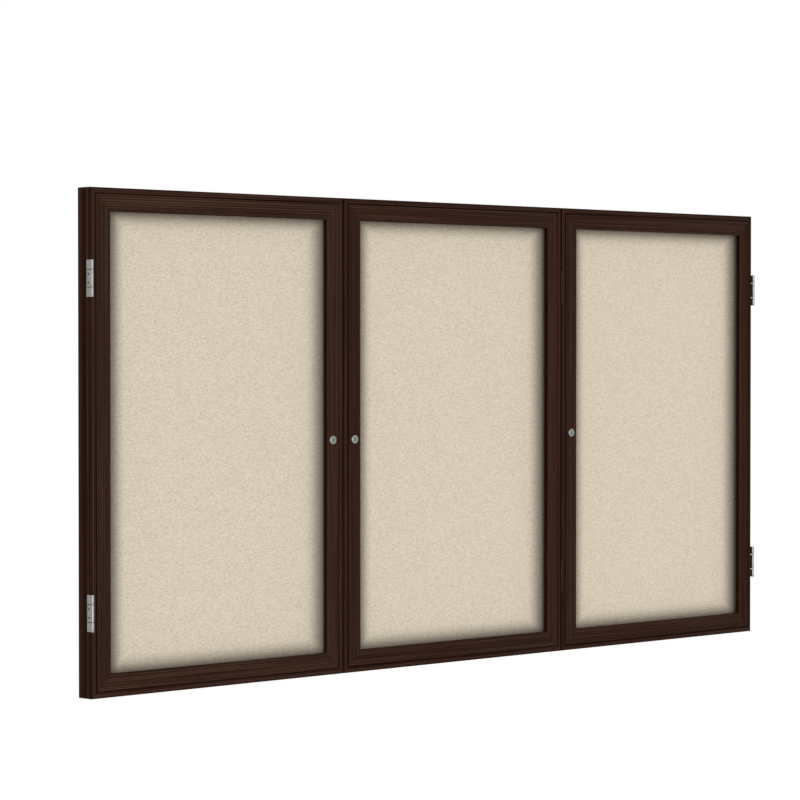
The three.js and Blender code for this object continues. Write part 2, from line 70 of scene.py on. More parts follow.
# %% [markdown]
# ## The camera
#
# The photograph was taken with a long lens, well to the left of the board and a little above its
# middle. A camera fitted to the corners of the board gives its place and its focal length. It
# aims at the point on the doors that lies in the middle of the picture.

# %% Place the camera
CAMERA_PLACE = Vector((-5.564, -5.675, 0.2405))
CAMERA_AIM = Vector((-0.208, -0.052, 0.090))
FOCAL_LENGTH_MM = 134.0
SENSOR_MM = 36.0

camera_data = bpy.data.cameras.new("camera")
camera_data.lens = FOCAL_LENGTH_MM
camera_data.sensor_width = SENSOR_MM
camera = linked("camera", camera_data)
camera.location = CAMERA_PLACE
camera.rotation_euler = (CAMERA_AIM - CAMERA_PLACE).to_track_quat("-Z", "Y").to_euler()
scene.camera = camera
print("camera", round((CAMERA_AIM - CAMERA_PLACE).length, 2), "m from the doors")

# %% [markdown]
# ## The light
#
# Product light is broad and soft. Half of it comes evenly from all round, which the world gives.
# The rest comes from one very wide lamp that stands behind the camera, so the rails throw their
# soft shadows on the cloth along all four sides of each window, as in the picture. The lamp is a
# sun with a wide disc, which lights both ends of the long board alike. A ray that goes from the
# camera straight past the board, or off its metal and glass, meets plain white. World and lamp
# together show a colour on the doors about as it is written.
#
# The world is made of nodes, and so is every surface further on. A few helpers keep that short:
# one feeds a node's inputs, one adds a node, and one does sums with nodes.

# %% Helpers for nodes


def feed(owner, node, inputs):
    """Sets inputs of a material's or world's node to a number, a vector, or another node's output."""
    for key, value in inputs.items():
        if isinstance(value, bpy.types.NodeSocket):
            owner.node_tree.links.new(value, node.inputs[key])
        else:
            node.inputs[key].default_value = value


def add(owner, kind, inputs=None, **settings):
    """Adds a node to a material or a world."""
    node = owner.node_tree.nodes.new(kind)
    for key, value in settings.items():
        setattr(node, key, value)
    feed(owner, node, inputs or {})
    return node


def maths(owner, operation, first, second=0.0):
    """What a node makes of one or two numbers."""
    return add(owner, "ShaderNodeMath", {0: first, 1: second}, operation=operation).outputs[0]


def seen_directly(owner):
    """1 for a ray from the camera, or off metal or through glass, and 0 for the light on things."""
    rays = add(owner, "ShaderNodeLightPath").outputs
    camera_or_glossy = maths(owner, "MAXIMUM", rays["Is Camera Ray"], rays["Is Glossy Ray"])
    return maths(owner, "MAXIMUM", camera_or_glossy, rays["Is Transmission Ray"])


print("node helpers ready")

# %% Set the world
WORLD_LIGHT = 0.5
WHITE = (1.0, 1.0, 1.0, 1.0)

scene.view_settings.view_transform = "Standard"
world = bpy.data.worlds.new("studio")
world.use_nodes = True
world.node_tree.nodes.clear()
scene.world = world
soft_light = add(world, "ShaderNodeBackground", {"Color": WHITE, "Strength": WORLD_LIGHT})
backdrop = add(world, "ShaderNodeBackground", {"Color": WHITE, "Strength": 1.0})
lights = {0: seen_directly(world), 1: soft_light.outputs[0], 2: backdrop.outputs[0]}
chosen = add(world, "ShaderNodeMixShader", lights)
add(world, "ShaderNodeOutputWorld", {"Surface": chosen.outputs[0]})
print("world light", WORLD_LIGHT)

# %% Hang the lamp
LAMP_AZIMUTH = -43
LAMP_ELEVATION = 3
LAMP_SPREAD = 34
LAMP_LEVEL = 0.5


def far_lamp(name, azimuth, elevation, spread, level):
    """A round lamp so far away that it lights both ends alike. Level is how bright a white door looks."""
    turn = Euler((math.radians(-elevation), 0, math.radians(azimuth)))
    towards_lamp = turn.to_matrix() @ Vector((0, -1, 0))
    facing = -towards_lamp.y
    data = bpy.data.lights.new(name, "SUN")
    data.angle = math.radians(spread)
    data.energy = level * math.pi / facing
    lamp = linked(name, data)
    lamp.rotation_euler = (-towards_lamp).to_track_quat("-Z", "Y").to_euler()
    lamp.location = towards_lamp
    print(name, "at", azimuth, "degrees, strength", round(data.energy, 2))


far_lamp("wide_lamp", LAMP_AZIMUTH, LAMP_ELEVATION, LAMP_SPREAD, LAMP_LEVEL)

# %% [markdown]
# ## The floor
#
# The board hangs at reading height, with its middle 1.5 m above a pale floor. The floor is small
# enough to stay out of the photograph's view, which has none. The lamp grazes it, so by its
# colour alone it would look grey. A faint glow that only the eye, metal and glass can see makes it
# pale without adding light to the board, and it still takes the board's soft shadow.

# %% Lay the floor
HANGING_HEIGHT = 1.5
FLOOR_SIZE = 4.4
FLOOR_GLOW = 0.42
FLOOR_ROUGHNESS = 0.9


def srgb(red, green, blue):
    """A colour as read off a screen, 0 to 255, as the linear values that a shader wants."""
    def linear(value):
        level = value / 255
        return level / 12.92 if level <= 0.04045 else ((level + 0.055) / 1.055) ** 2.4
    return (linear(red), linear(green), linear(blue), 1.0)


def new_material(name):
    """An empty material with one Principled shader on its output."""
    material = bpy.data.materials.new(name)
    material.use_nodes = True
    material.node_tree.nodes.clear()
    shader = add(material, "ShaderNodeBsdfPrincipled")
    add(material, "ShaderNodeOutputMaterial", {"Surface": shader.outputs["BSDF"]})
    return material, shader


def pale_floor():
    material, shader = new_material("pale_floor")
    feed(material, shader, {
        "Base Color": srgb(240, 240, 238),
        "Roughness": FLOOR_ROUGHNESS,
        "Emission Color": srgb(255, 255, 253),
        "Emission Strength": maths(material, "MULTIPLY", seen_directly(material), FLOOR_GLOW),
    })
    return material


floor_mesh = bpy.data.meshes.new("floor")
corner_signs = ((-1, -1), (1, -1), (1, 1), (-1, 1))
corners = [(x * FLOOR_SIZE / 2, y * FLOOR_SIZE / 2, -HANGING_HEIGHT) for x, y in corner_signs]
floor_mesh.from_pydata(corners, [], [(0, 1, 2, 3)])
floor_mesh.materials.append(pale_floor())
floor = linked("floor", floor_mesh)
print("floor", FLOOR_SIZE, "m wide")

# %% [markdown]
# ## Softer edges
#
# The solids come with sharp edges and flat facets. No saw or plane leaves an edge that sharp, and
# light that catches a slightly rounded edge is what makes a thing look real. The solids' points
# must stay where they are, so modifiers do the work on top of them: one joins the loose
# triangles, one takes away the lines inside flat faces, one rounds the edges, and a small node
# group shades round faces smooth and leaves true corners crisp.

# %% Build the smoothing group
SMOOTH_LIMIT = math.radians(32)


def smooth_by_angle():
    """A node group that shades an edge smooth where its two faces meet at a gentle angle."""
    group = bpy.data.node_groups.new("smooth_by_angle", "GeometryNodeTree")
    group.interface.new_socket("Geometry", in_out="INPUT", socket_type="NodeSocketGeometry")
    group.interface.new_socket("Geometry", in_out="OUTPUT", socket_type="NodeSocketGeometry")
    nodes, links = group.nodes, group.links
    start = nodes.new("NodeGroupInput")
    bare = nodes.new("GeometryNodeRemoveAttribute")
    bare.inputs["Name"].default_value = "custom_normal"
    angle = nodes.new("GeometryNodeInputMeshEdgeAngle")
    gentle = nodes.new("FunctionNodeCompare")
    gentle.operation = "LESS_THAN"
    gentle.inputs["B"].default_value = SMOOTH_LIMIT
    edges = nodes.new("GeometryNodeSetShadeSmooth")
    edges.domain = "EDGE"
    faces = nodes.new("GeometryNodeSetShadeSmooth")
    finish = nodes.new("NodeGroupOutput")
    links.new(start.outputs["Geometry"], bare.inputs["Geometry"])
    links.new(bare.outputs["Geometry"], faces.inputs["Geometry"])
    links.new(faces.outputs["Geometry"], edges.inputs["Geometry"])
    links.new(angle.outputs["Unsigned Angle"], gentle.inputs["A"])
    links.new(gentle.outputs["Result"], edges.inputs["Shade Smooth"])
    links.new(edges.outputs["Geometry"], finish.inputs["Geometry"])
    return group


SMOOTHING = smooth_by_angle()
print("smoothing group of", len(SMOOTHING.nodes), "nodes")

# %% Soften edges
JOIN_DISTANCE = 0.002 * MM
FLAT_LIMIT = math.radians(0.5)
ROUND_STEPS = 2
WOOD_EDGE = 0.4 * MM
METAL_EDGE = 0.15 * MM


def smooth(piece):
    """Shades a piece by the smoothing group."""
    modifier = piece.modifiers.new("smooth", "NODES")
    modifier.node_group = SMOOTHING


def soften(piece, width):
    """Rounds the true corners of a solid by a width, and shades its round faces smooth."""
    join = piece.modifiers.new("join", "WELD")
    join.merge_threshold = JOIN_DISTANCE
    flat = piece.modifiers.new("flat", "DECIMATE")
    flat.decimate_type = "DISSOLVE"
    flat.angle_limit = FLAT_LIMIT
    rounding = piece.modifiers.new("rounding", "BEVEL")
    rounding.width = width
    rounding.segments = ROUND_STEPS
    rounding.limit_method = "ANGLE"
    rounding.angle_limit = SMOOTH_LIMIT
    rounding.use_clamp_overlap = True
    smooth(piece)


timber = [name for name in parts if name.endswith(("_rail", "_stile")) or name.startswith("mullion")]
hinge_parts = [name for name in parts if "_hinge_" in name and name not in timber]
lock_parts = [name for name in parts if "_lock_" in name and name not in timber]
for name in timber:
    soften(parts[name], WOOD_EDGE)
for name in hinge_parts + lock_parts:
    soften(parts[name], METAL_EDGE)
print("softened", len(timber), "of timber and", len(hinge_parts + lock_parts), "of metal")

# %% [markdown]
# ## Walnut
#
# The case and doors are stained dark, so the grain is a quiet play of fine brown lines that run
# the whole length of each member. Noises stretched a hundred times and more along the grain give
# the lines, a wave adds the growth rings at their even spacing, a broader noise lets the tone and
# the rings wander a little across the plank, and a short one gives the open pores. The grain turns
# with the member: along x in a rail, along z in a stile, so it changes direction on the mitre. Each
# member gets its own shift, since no two are cut from the same plank. Each door is a little
# darker and warmer than the door on its left.
#
# The tone follows the surface's own direction: full brown where it faces the front or the back,
# and much darker where it faces sideways, which is painted shade on the edges and sides. The narrow
# groove beside the bead gets painted shade as well, and its dark line frames every door.
#
# Two cells of helpers come first, and the other surfaces use them too. The first makes patterns
# from a point's place on its piece, and the second turns a pattern into colour and relief.

# %% Helpers for patterns


def own_place(material):
    """Where a point lies on its own piece, which stays the same when the piece moves."""
    return add(material, "ShaderNodeTexCoord").outputs["Object"]


def along(material, vector, axis):
    """One of a vector's three values."""
    return add(material, "ShaderNodeSeparateXYZ", {"Vector": vector}).outputs[axis]


def noise(material, place, size, detail, shift=(0.0, 0.0, 0.0)):
    """A noise whose blots have a size along x, y and z."""
    scale = [1 / length for length in size]
    mapping = add(material, "ShaderNodeMapping", {"Vector": place, "Location": shift, "Scale": scale})
    inputs = {"Vector": mapping.outputs["Vector"], "Scale": 1.0, "Detail": detail}
    return add(material, "ShaderNodeTexNoise", inputs).outputs["Fac"]


def weighted(material, weights):
    """The sum of values, each times its weight."""
    total = 0.0
    for value, weight in weights:
        total = maths(material, "ADD", total, maths(material, "MULTIPLY", value, weight))
    return total


def ranged(material, value, start, end, low=0.0, high=1.0, curve="LINEAR"):
    """Goes from low to high as the value goes from start to end, and no further."""
    inputs = {"Value": value, "From Min": start, "From Max": end, "To Min": low, "To Max": high}
    return add(material, "ShaderNodeMapRange", inputs, interpolation_type=curve).outputs["Result"]


def between(material, value, start, end, ease):
    """1 where the value lies between start and end, and 0 elsewhere, with soft borders inside."""
    after = ranged(material, value, start, start + ease)
    before = ranged(material, value, end, end - ease)
    return maths(material, "MULTIPLY", after, before)


print("pattern helpers ready")

# %% Helpers for colour and relief


def ramp(material, value, places, colours):
    """Turns a value into a colour, with each colour at its place from 0 to 1."""
    node = add(material, "ShaderNodeValToRGB", {"Fac": value})
    elements = node.color_ramp.elements
    while len(elements) < len(places):
        elements.new(0.5)
    for element, place, colour in zip(elements, places, colours):
        element.position = place
        element.color = colour
    return node.outputs["Color"]


def multiplied(material, amount, colour, tint):
    """A colour, multiplied by a tint as far as the amount says."""
    inputs = {0: amount, 6: colour, 7: tint}
    return add(material, "ShaderNodeMix", inputs, data_type="RGBA", blend_type="MULTIPLY").outputs[2]


def bumped(material, height, strength, depth):
    """The normal of a surface that a height between 0 and 1 lifts by a depth."""
    inputs = {"Height": height, "Strength": strength, "Distance": depth}
    return add(material, "ShaderNodeBump", inputs).outputs["Normal"]


print("colour helpers ready")

# %% Grow the grain
PLANK_WIDTH, PLANK_LENGTH, PLANK_WEIGHT = 45 * MM, 2500 * MM, 0.08
BAND_WIDTH, BAND_LENGTH, BAND_WEIGHT = 2.5 * MM, 1300 * MM, 0.42
LINE_WIDTH, LINE_LENGTH, LINE_WEIGHT = 1.3 * MM, 300 * MM, 0.5
PORE_WIDTH, PORE_LENGTH = 0.7 * MM, 18 * MM
PORE_STARTS, PORE_IS_OPEN = 0.60, 0.72
RING_SPACING, RING_WANDER, RING_WEIGHT = 6 * MM, 7.0, 0.056


def wood_grain(material, place, grain, shift):
    """The tone, the fine lines and the open pores of wood that grew along one axis."""
    def streaks(width, length, detail):
        size = [width] * 3
        size[grain] = length
        return noise(material, place, size, detail, shift)

    plank = streaks(PLANK_WIDTH, PLANK_LENGTH, 0)
    bands = streaks(BAND_WIDTH, BAND_LENGTH, 1)
    lines = streaks(LINE_WIDTH, LINE_LENGTH, 2)
    pores = streaks(PORE_WIDTH, PORE_LENGTH, 1)
    across = along(material, place, Z if grain == X else X)
    turn = weighted(material, [(across, math.tau / RING_SPACING), (plank, RING_WANDER)])
    rings = maths(material, "SINE", turn)
    tone = weighted(material, [
        (rings, RING_WEIGHT), (plank, PLANK_WEIGHT), (bands, BAND_WEIGHT), (lines, LINE_WEIGHT),
    ])
    return tone, lines, ranged(material, pores, PORE_STARTS, PORE_IS_OPEN)


print("growth rings every", round(RING_SPACING / MM, 1), "mm")

# %% Stain the wood
WALNUT_TONES = (srgb(33, 18, 11), srgb(54, 35, 27), srgb(74, 52, 42))
TONE_PLACES = (0.345, 0.5, 0.655)
PORE_STAIN = (0.5, 0.45, 0.42, 1.0)
# Painted shade: the tint of the faces that look sideways.
EDGE_PAINTED_SHADE = (0.29, 0.12, 0.04, 1.0)
EDGE_STARTS, EDGE_IS_DARK = 0.35, 0.05
# Painted shade: the tint of the groove beside the bead.
GROOVE_PAINTED_SHADE = (0.36, 0.24, 0.15, 1.0)
GROOVE_STARTS, GROOVE_ENDS, GROOVE_SOFTNESS = 1.4 * MM, 4.6 * MM, 0.7 * MM


def raised_to_power(colour, darkening_power):
    """A colour with each value raised to a power, which above 1 makes it darker and warmer."""
    return (*[value ** darkening_power for value in colour[:3]], 1.0)


def stained_and_shaded(material, place, tone, open_pore, darkening_power, face):
    """The wood's colour: darker in the pores, with painted shade on the edges and in the groove of a door.
    """
    colour = ramp(material, tone, TONE_PLACES, [raised_to_power(brown, darkening_power) for brown in WALNUT_TONES])
    colour = multiplied(material, open_pore, colour, PORE_STAIN)
    normal = add(material, "ShaderNodeTexCoord").outputs["Normal"]
    facing = maths(material, "ABSOLUTE", along(material, normal, Y))
    # Painted shade on the faces that look sideways.
    edge = ranged(material, facing, EDGE_STARTS, EDGE_IS_DARK)
    colour = multiplied(material, edge, colour, EDGE_PAINTED_SHADE)
    if face is not None:
        # Painted shade in the groove beside the bead.
        depth = maths(material, "SUBTRACT", along(material, place, Y), face)
        groove = between(material, depth, GROOVE_STARTS, GROOVE_ENDS, GROOVE_SOFTNESS)
        colour = multiplied(material, groove, colour, GROOVE_PAINTED_SHADE)
    return colour


print("the groove is dark from", round(GROOVE_STARTS / MM, 1), "to", round(GROOVE_ENDS / MM, 1), "mm deep")

# %% Mix the walnut
# A noise gives values from 0 to 1, but nearly all of them lie between these two.
NOISE_LOW, NOISE_HIGH = 0.3, 0.7
WOOD_ROUGHEST, WOOD_SMOOTHEST, WOOD_SHINE = 0.60, 0.46, 0.02
LINE_HEIGHT, WOOD_BUMP, WOOD_RELIEF = 0.5, 0.25, 0.15 * MM


def walnut(name, grain, shift, darkening_power, face):
    """Walnut with its grain along one axis. Face is the y of a door's front, whose groove gets painted
    shade.
    """
    material, shader = new_material(name)
    place = own_place(material)
    tone, lines, open_pore = wood_grain(material, place, grain, shift)
    height = maths(material, "SUBTRACT", maths(material, "MULTIPLY", lines, LINE_HEIGHT), open_pore)
    feed(material, shader, {
        "Base Color": stained_and_shaded(material, place, tone, open_pore, darkening_power, face),
        "Roughness": ranged(material, lines, NOISE_LOW, NOISE_HIGH, WOOD_ROUGHEST, WOOD_SMOOTHEST),
        "Specular IOR Level": WOOD_SHINE,
        "Normal": bumped(material, height, WOOD_BUMP, WOOD_RELIEF),
    })
    return material


print("walnut is", WOOD_SMOOTHEST, "to", WOOD_ROUGHEST, "rough")

# %% Dress the timber
GRAIN_SHIFT = Vector((3.7, 5.3, 7.9))
# Each door's browns are raised to a power a little above the last door's, so the doors get darker from left
# to right.
DOOR_DARKENING_POWERS = {"left": 1.0, "centre": 1.045, "right": 1.075}


def dress(piece, material):
    """Puts a material on a piece by the piece's own slots, so pieces can share a mesh."""
    if not piece.material_slots:
        piece.data.materials.append(None)
    for slot in piece.material_slots:
        slot.link = "OBJECT"
        slot.material = material


for number, name in enumerate(sorted(timber), start=1):
    grain = X if name.endswith("_rail") else Z
    on_door = "_door_" in name
    darkening_power = DOOR_DARKENING_POWERS[name.split("_")[0]] if on_door else 1.0
    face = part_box(name)[0].y if on_door else None
    dress(parts[name], walnut("walnut_" + name, grain, GRAIN_SHIFT * number, darkening_power, face))
print("walnut on", len(timber), "members")

# %% [markdown]
# ## The tack board
#
# Behind the cloth lies a soft fibreboard, and behind that a hard brown panel, which is what the
# wall touches. Both are pressed wood fibre, so their colour is a fine speckle without any grain.

# %% Press the boards
SPECKLE_WEIGHT, CLOUD_WEIGHT = 0.88, 0.12
SPECKLES_TO_CLOUD = 125
FIBRE_PLACES = (0.35, 0.65)
FIBRE_BUMP, FIBRE_RELIEF = 0.3, 0.2 * MM


def pressed_fibre(name, dark, light, speckle, roughness):
    """Pressed wood fibre: speckles of a size, and clouds many speckles wide."""
    material, shader = new_material(name)
    place = own_place(material)
    fine = noise(material, place, [speckle] * 3, 4)
    cloudy = noise(material, place, [speckle * SPECKLES_TO_CLOUD] * 3, 2)
    tone = weighted(material, [(fine, SPECKLE_WEIGHT), (cloudy, CLOUD_WEIGHT)])
    feed(material, shader, {
        "Base Color": ramp(material, tone, FIBRE_PLACES, (dark, light)),
        "Roughness": roughness,
        "Normal": bumped(material, fine, FIBRE_BUMP, FIBRE_RELIEF),
    })
    return material


HARDBOARD = (srgb(84, 56, 38), srgb(124, 88, 62), 1.5 * MM, 0.7)
FIBREBOARD = (srgb(150, 122, 88), srgb(186, 160, 122), 2.5 * MM, 0.95)

dress(parts["back_panel"], pressed_fibre("hardboard", *HARDBOARD))
dress(parts["tack_core"], pressed_fibre("fibreboard", *FIBREBOARD))
print("boards pressed")

# %% [markdown]
# ## The cloth
#
# The tack cloth is one piece stretched over the board behind all three doors. It is plain woven
# from uneven beige yarn, so a thick yarn shows as a pale or dark fleck here and there, and the
# yarn that runs across is the more uneven one. The mesh is a fine grid in the place of the plain
# solid, with the slightest swell where the cloth isn't pulled quite flat. The weave is too fine
# for a mesh, so the surface gives it, yarn by yarn.
#
# The cloth's colour holds painted shade: it is full beige in a lit field behind each pane and much
# darker outside it, as if the doors' frames shaded it. The lamp comes slanting from the left front,
# so each field starts to the right of its window's left stile by as much as the stile stands off the
# cloth. At the top and bottom it starts almost at the rail, and at the right it reaches a little way
# behind the stile. The border of each lit field is soft, and softest at the right, where the light
# comes furthest past the edge of the frame. On top of the frames' own shadow this gives the dark margins.

# %% Find the lit fields
DOOR_NAMES = ("left", "centre", "right")
LIGHT_SLANT = math.radians(43)
LIGHT_BEYOND = 13 * MM


def lit_field(door):
    """The left, right, bottom and top edge of the field that the painted shade leaves lit behind one door.
    """
    hinge_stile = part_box(f"{door}_door_hinge_stile")
    lock_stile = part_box(f"{door}_door_lock_stile")
    left, right = sorted((hinge_stile, lock_stile), key=lambda stile: stile[0].x)
    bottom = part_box(f"{door}_door_bottom_rail")[1].z
    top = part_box(f"{door}_door_top_rail")[0].z
    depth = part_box("tack_fabric")[0].y - left[0].y
    return left[1].x + depth * math.tan(LIGHT_SLANT), right[0].x + LIGHT_BEYOND, bottom, top


fields = [lit_field(door) for door in DOOR_NAMES]
print("bleached fields, from and to:", [(round(field[0], 3), round(field[1], 3)) for field in fields])

# %% Paint the shade on the cloth
FIELD_ROUND = 18 * MM
SOFTER_AT_RIGHT = 1.35
SHADE_RAMP_INSIDE = 46 * MM
SHADE_RAMP_OUTSIDE = 14 * MM


def outside_field(material, across, upward, field):
    """How far a point lies outside a field with round corners. It is less than zero inside."""
    left, right, bottom, top = field
    leftward = maths(material, "SUBTRACT", left, across)
    rightward = maths(material, "SUBTRACT", across, right)
    rightward = maths(material, "MULTIPLY", rightward, 1 / SOFTER_AT_RIGHT)
    below = maths(material, "SUBTRACT", bottom, upward)
    above = maths(material, "SUBTRACT", upward, top)
    worst = [maths(material, "MAXIMUM", *pair) for pair in ((leftward, rightward), (below, above))]
    beyond = [maths(material, "ADD", value, FIELD_ROUND) for value in worst]
    corner = [maths(material, "MAXIMUM", value, 0.0) for value in beyond]
    squares = [maths(material, "POWER", value, 2.0) for value in corner]
    distance = maths(material, "SQRT", maths(material, "ADD", *squares))
    inside = maths(material, "MINIMUM", maths(material, "MAXIMUM", *beyond), 0.0)
    return maths(material, "SUBTRACT", maths(material, "ADD", distance, inside), FIELD_ROUND)


def painted_shade_share(material, place):
    """How much painted shade a point of the cloth gets: 0 in the middle of a lit field and 1 well outside
    all of them.
    """
    across, upward = along(material, place, X), along(material, place, Z)
    nearest, *others = [outside_field(material, across, upward, field) for field in fields]
    for distance in others:
        nearest = maths(material, "MINIMUM", nearest, distance)
    return ranged(material, nearest, -SHADE_RAMP_INSIDE, SHADE_RAMP_OUTSIDE, curve="SMOOTHERSTEP")


print("the fade is", round((SHADE_RAMP_INSIDE + SHADE_RAMP_OUTSIDE) / MM), "mm wide")

# %% Weave the cloth
CLOTH_TONES = (srgb(213, 198, 176), srgb(233, 220, 198), srgb(244, 233, 214))
CLOTH_PLACES = (0.36, 0.5, 0.64)
# The tint of the painted shade that darkens the cloth outside the lit fields.
CLOTH_PAINTED_SHADE = (0.36, 0.35, 0.35, 1.0)
YARN_PITCH = 1.1 * MM
YARN_GAP = (0.84, 0.82, 0.79, 1.0)
GAP_STARTS, GAP_IS_DEEP = 0.35, 0.0
FLECK_LENGTH = 7 * MM
FLECK_WIDTH = 2 * MM
WARP_SHIFT = (5.0, 3.0, 1.0)
YARN_WEIGHT, WEFT_WEIGHT, WARP_WEIGHT = 0.4, 0.45, 0.15
CLOTH_ROUGHNESS, CLOTH_SHINE = 0.95, 0.1
WEAVE_BUMP, WEAVE_RELIEF = 0.35, 0.3 * MM


def woven_cloth(name):
    """Plain weave: across and upright yarns that pass over each other in turn, with painted shade outside
    the lit fields.
    """
    material, shader = new_material(name)
    place = own_place(material)

    def yarns(axis):
        turn = maths(material, "MULTIPLY", along(material, place, axis), math.pi / YARN_PITCH)
        return maths(material, "SINE", turn)

    over = maths(material, "MULTIPLY", yarns(X), yarns(Z))
    rise = maths(material, "ABSOLUTE", over)
    weft = noise(material, place, (FLECK_LENGTH, FLECK_LENGTH, FLECK_WIDTH), 2)
    warp = noise(material, place, (FLECK_WIDTH, FLECK_WIDTH, FLECK_LENGTH), 2, WARP_SHIFT)
    upper = maths(material, "GREATER_THAN", over, 0.0)
    yarn = add(material, "ShaderNodeMix", {0: upper, 2: weft, 3: warp}, data_type="FLOAT").outputs[0]
    tone = weighted(material, [(yarn, YARN_WEIGHT), (weft, WEFT_WEIGHT), (warp, WARP_WEIGHT)])
    colour = ramp(material, tone, CLOTH_PLACES, CLOTH_TONES)
    colour = multiplied(material, ranged(material, rise, GAP_STARTS, GAP_IS_DEEP), colour, YARN_GAP)
    feed(material, shader, {
        # The frames' shade is painted into the cloth's colour here, outside the lit fields.
        "Base Color": multiplied(material, painted_shade_share(material, place), colour, CLOTH_PAINTED_SHADE),
        "Roughness": CLOTH_ROUGHNESS,
        "Specular IOR Level": CLOTH_SHINE,
        "Normal": bumped(material, maths(material, "ADD", rise, tone), WEAVE_BUMP, WEAVE_RELIEF),
    })
    return material


print("yarns every", round(YARN_PITCH / MM, 1), "mm")

# %% Plan the fixing holes
FIXING_HEIGHT = 571.6 * MM
HOLE_RADIUS = 3 * MM
HOLE_STEPS = 4

cloth_low, cloth_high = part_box("tack_fabric")


def fixing_places():
    """Two fixings behind each door's rails, one above and one below the windows."""
    places = []
    for door in DOOR_NAMES:
        rail_low, rail_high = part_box(f"{door}_door_top_rail")
        for end in (-1, 1):
            places.append(Vector(((rail_low.x + rail_high.x) / 2, cloth_low.y, end * FIXING_HEIGHT)))
    return places


def cut_hole(mesh, place):
    """Opens a round hole at the grid's nearest crossing, by rounding off that one point."""
    nearest = min(mesh.verts, key=lambda vert: (vert.co - place).length)
    nearest.co = place
    made = bmesh.ops.bevel(mesh, geom=[nearest], offset=HOLE_RADIUS, segments=HOLE_STEPS, affect="VERTICES")
    plug = max(made["faces"], key=lambda made_face: len(made_face.verts))
    bmesh.ops.delete(mesh, geom=[plug], context="FACES_ONLY")


print(len(fixing_places()), "holes to cut")

# %% Cut the cloth
CLOTH_STEP = 12 * MM
SWELL = 0.25 * MM
SWELL_LENGTH = 260 * MM
EDGE_EASE = 0.5 * MM


def finished_mesh(name, mesh):
    """Turns a bmesh into a mesh that an object can have."""
    data = bpy.data.meshes.new(name)
    mesh.to_mesh(data)
    mesh.free()
    return data


def stretched_cloth():
    """A grid in the cloth's place, with its swell, its eased edge and its holes."""
    columns = round((cloth_high.x - cloth_low.x) / CLOTH_STEP)
    rows = round((cloth_high.z - cloth_low.z) / CLOTH_STEP)
    mesh = bmesh.new()
    grid = []
    for row in range(rows + 1):
        z = cloth_low.z + (cloth_high.z - cloth_low.z) * row / rows
        line = []
        for column in range(columns + 1):
            x = cloth_low.x + (cloth_high.x - cloth_low.x) * column / columns
            rim = row in (0, rows) or column in (0, columns)
            wave = math.sin(x / SWELL_LENGTH * math.tau) * math.sin((z + x / 3) / SWELL_LENGTH * math.tau)
            pull = EDGE_EASE if rim else SWELL * (1 - wave) / 2
            line.append(mesh.verts.new((x, cloth_low.y + pull, z)))
        grid.append(line)
    for below, above in zip(grid, grid[1:]):
        for column in range(columns):
            mesh.faces.new((below[column], below[column + 1], above[column + 1], above[column]))
    for place in fixing_places():
        cut_hole(mesh, place)
    print("cloth of", columns, "by", rows, "cells")
    return finished_mesh("tack_cloth", mesh)


cloth = linked("tack_cloth", stretched_cloth())
cloth.data.shade_smooth()

# %% Stretch the cloth
CLOTH_THICKNESS = 1.2 * MM

thick = cloth.modifiers.new("thickness", "SOLIDIFY")
thick.thickness = CLOTH_THICKNESS - EDGE_EASE
thick.offset = -1
cloth.data.materials.append(woven_cloth("tack_cloth"))
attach(cloth, "case")
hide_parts("tack_fabric")

# %% [markdown]
# ## Panes and gaskets
#
# The panes are so clear that the picture shows no reflection in them. A pane is mostly see-through,
# with a faint polished surface, so light falls through it on the cloth. The gasket round it is
# matt black vinyl.

# %% Glaze the doors
PANE_COVER = 0.03
PANE_ROUGHNESS = 0.03
VINYL_SPECKLE = 2.5 * MM
VINYL_ROUGHNESS = 0.7
VINYL_TONES = (srgb(20, 17, 15), srgb(34, 30, 27))


def clear_pane():
    """Polished and nearly see-through: its alpha is the small share of it that covers what is behind."""
    material, shader = new_material("clear_pane")
    feed(material, shader, {
        "Base Color": srgb(104, 110, 107),
        "Roughness": PANE_ROUGHNESS,
        "Alpha": PANE_COVER,
    })
    return material


def matt_vinyl():
    material, shader = new_material("vinyl")
    speckle = noise(material, own_place(material), [VINYL_SPECKLE] * 3, 3)
    feed(material, shader, {
        "Base Color": ramp(material, speckle, (NOISE_LOW, NOISE_HIGH), VINYL_TONES),
        "Roughness": VINYL_ROUGHNESS,
    })
    return material


pane, vinyl = clear_pane(), matt_vinyl()
for door in DOOR_NAMES:
    dress(parts[f"{door}_door_glazing"], pane)
    dress(parts[f"{door}_door_gasket"], vinyl)
print("panes", len(DOOR_NAMES))

# %% [markdown]
# ## Metal
#
# Hinges and locks are plated steel with a satin finish. The fine brushing runs one way, so the
# roughness and a slight bump follow long thin streaks. The middle door's hinges are bronzed to
# vanish against the wood. The other screws are plain steel, duller and darker than the plates that
# they hold.

# %% Plate the metal
BRUSH_WIDTH = 0.25 * MM
BRUSH_LENGTH = 12 * MM
BRUSH_BUMP, BRUSH_RELIEF = 0.15, 0.02 * MM
SMOOTHER, ROUGHER = 0.05, 0.07
RECESS_STARTS = 0.1 * MM
RECESS_EASE = 0.15 * MM
# The colour of the painted shade inside a recess.
RECESS_PAINTED_SHADE = (0.05, 0.045, 0.04, 1.0)


